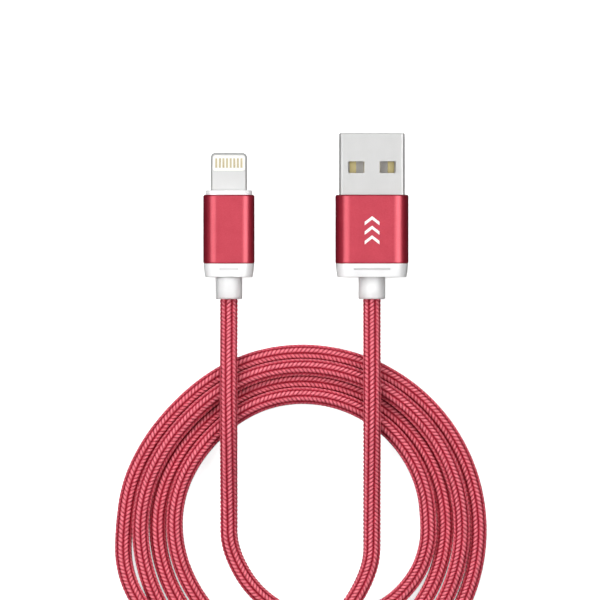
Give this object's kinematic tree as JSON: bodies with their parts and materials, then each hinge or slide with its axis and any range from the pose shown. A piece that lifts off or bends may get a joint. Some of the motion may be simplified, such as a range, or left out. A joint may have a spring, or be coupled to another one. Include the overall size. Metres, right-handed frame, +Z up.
{
  "type": "charging cable",
  "caption": "Coiled red braided charging cable with a USB-A plug and a reversible 8-pin plug in metal sleeves with white collars.",
  "frame": {"origin": "on the table, midway between the outer sides of the two plugs and midway between the USB plug's tip and the cord exits", "axes": "+Y the way both plugs point, +X from the 8-pin plug to the USB plug, +Z up from the table"},
  "size_m": [0.0685, 0.1071, 0.0099],
  "materials": {
    "cord_braid": "woven nylon braid",
    "anodised_red": "fine bead-blasted anodising",
    "white_shell": "smooth satin moulding",
    "white_flex": "soft satin elastomer",
    "plated_steel": "satin nickel plate",
    "tongue_plastic": "moulded insulator",
    "contact_gold": "gold plated",
    "board_green": "solder mask",
    "chip_black": "moulded epoxy",
    "capacitor_tan": "ceramic body",
    "jacket_grey": "extruded jacket",
    "wire_red": "extruded insulation",
    "wire_white": "extruded insulation",
    "wire_green": "extruded insulation",
    "wire_black": "extruded insulation"
  },
  "bodies": {
    "root": {"cord_coil": "cord_braid", "cord_lead_phone": "cord_braid", "cord_lead_usb": "cord_braid", "phone_cable_jacket": "jacket_grey", "phone_capacitors": "capacitor_tan", "phone_charge_chip": "chip_black", "phone_circuit_board": "board_green", "phone_collar": "white_shell", "phone_contact_bottom_1": "contact_gold", "phone_contact_bottom_2": "contact_gold", "phone_contact_bottom_3": "contact_gold", "phone_contact_bottom_4": "contact_gold", "phone_contact_bottom_5": "contact_gold", "phone_contact_bottom_6": "contact_gold", "phone_contact_bottom_7": "contact_gold", "phone_contact_bottom_8": "contact_gold", "phone_contact_carrier": "white_shell", "phone_contact_top_1": "contact_gold", "phone_contact_top_2": "contact_gold", "phone_contact_top_3": "contact_gold", "phone_contact_top_4": "contact_gold", "phone_contact_top_5": "contact_gold", "phone_contact_top_6": "contact_gold", "phone_contact_top_7": "contact_gold", "phone_contact_top_8": "contact_gold", "phone_crimp_ring": "plated_steel", "phone_inner_mold": "white_shell", "phone_shield_can": "plated_steel", "phone_sleeve": "anodised_red", "phone_strain_relief": "white_flex", "phone_tab_frame": "plated_steel", "phone_wire_data_minus": "wire_white", "phone_wire_data_plus": "wire_green", "phone_wire_ground": "wire_black", "phone_wire_power": "wire_red", "usb_cable_jacket": "jacket_grey", "usb_collar": "white_shell", "usb_contact_data_minus": "contact_gold", "usb_contact_data_plus": "contact_gold", "usb_contact_ground": "contact_gold", "usb_contact_power": "contact_gold", "usb_crimp_ring": "plated_steel", "usb_inner_mold": "white_shell", "usb_shell": "plated_steel", "usb_sleeve": "anodised_red", "usb_strain_relief": "white_flex", "usb_tongue": "tongue_plastic", "usb_wire_data_minus": "wire_white", "usb_wire_data_plus": "wire_green", "usb_wire_ground": "wire_black", "usb_wire_power": "wire_red"}
  },
  "joints": []
}
